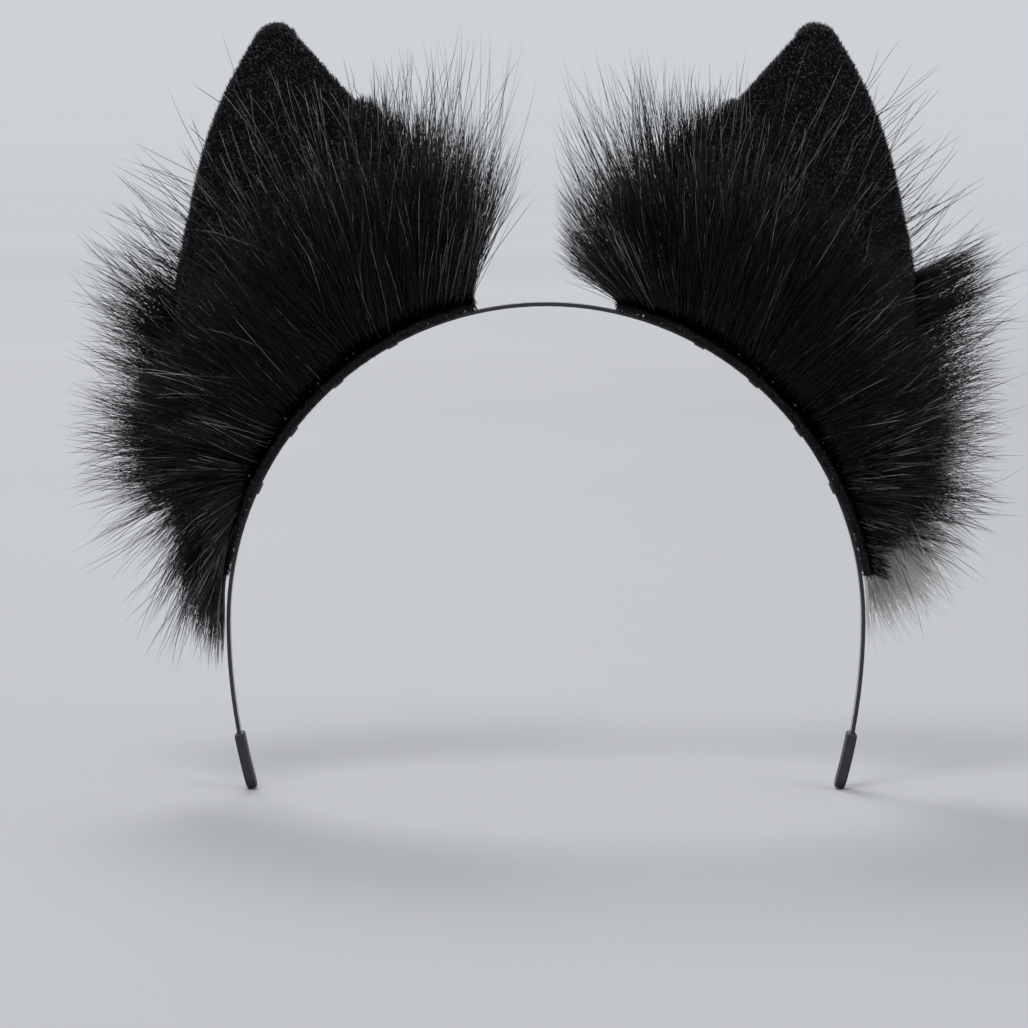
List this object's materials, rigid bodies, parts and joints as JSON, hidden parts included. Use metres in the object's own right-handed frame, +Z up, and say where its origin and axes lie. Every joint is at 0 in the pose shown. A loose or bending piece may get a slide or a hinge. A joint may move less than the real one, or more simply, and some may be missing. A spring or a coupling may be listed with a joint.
{
  "type": "animal ears headband",
  "caption": "Thin spring hoop that carries upright black plush animal ears with long fur, each tied on by thread so it tilts.",
  "frame": {"origin": "centre of the hoop's arc, on the line through the middle of the strip's width: the centre of the head form it is worn on", "axes": "+Z up to the crown of the hoop, +Y to the wearer's back, +X to the wearer's left"},
  "size_m": [0.2242, 0.0508, 0.1989],
  "materials": {
    "hoop_coating": "gloss black lacquer on a spring steel strip",
    "cap_rubber": "soft satin black",
    "base_felt": "matte felt",
    "sewing_thread": "twisted polyester thread",
    "core_foam": "stiff foam sheet, hidden",
    "frame_wire": "soft bendable wire, hidden",
    "short_plush": "short black plush",
    "lining_plush": "short pale grey plush",
    "long_fur": "long straight black faux fur with a soft sheen",
    "pale_fluff": "fine pale grey faux fur"
  },
  "bodies": {
    "headband": {"hoop_band": "hoop_coating", "left_end_cap": "cap_rubber", "right_end_cap": "cap_rubber"},
    "left_ear": {"left_ear_base_strip": "base_felt", "left_ear_stitches": "sewing_thread", "left_ear_core": "core_foam", "left_ear_wire": "frame_wire", "left_ear_back_panel": "short_plush", "left_ear_front_lining": "lining_plush", "left_ear_back_fur": "long_fur", "left_ear_side_fur": "long_fur", "left_ear_inner_fluff": "pale_fluff"},
    "right_ear": {"right_ear_base_strip": "base_felt", "right_ear_stitches": "sewing_thread", "right_ear_core": "core_foam", "right_ear_wire": "frame_wire", "right_ear_back_panel": "short_plush", "right_ear_front_lining": "lining_plush", "right_ear_back_fur": "long_fur", "right_ear_side_fur": "long_fur", "right_ear_inner_fluff": "pale_fluff"}
  },
  "joints": [
    {"name": "left_ear_tilt", "type": "hinge", "parent": "headband", "child": "left_ear", "pos_m": [0.06034, 0, 0.05627], "axis": [0.682, 0, -0.7314], "range_deg": [-15, 15], "deforming": ["left_ear_stitches"]},
    {"name": "right_ear_tilt", "type": "hinge", "parent": "headband", "child": "right_ear", "pos_m": [-0.06034, 0, 0.05627], "axis": [0.682, 0, 0.7314], "range_deg": [-15, 15], "deforming": ["right_ear_stitches"]}
  ]
}
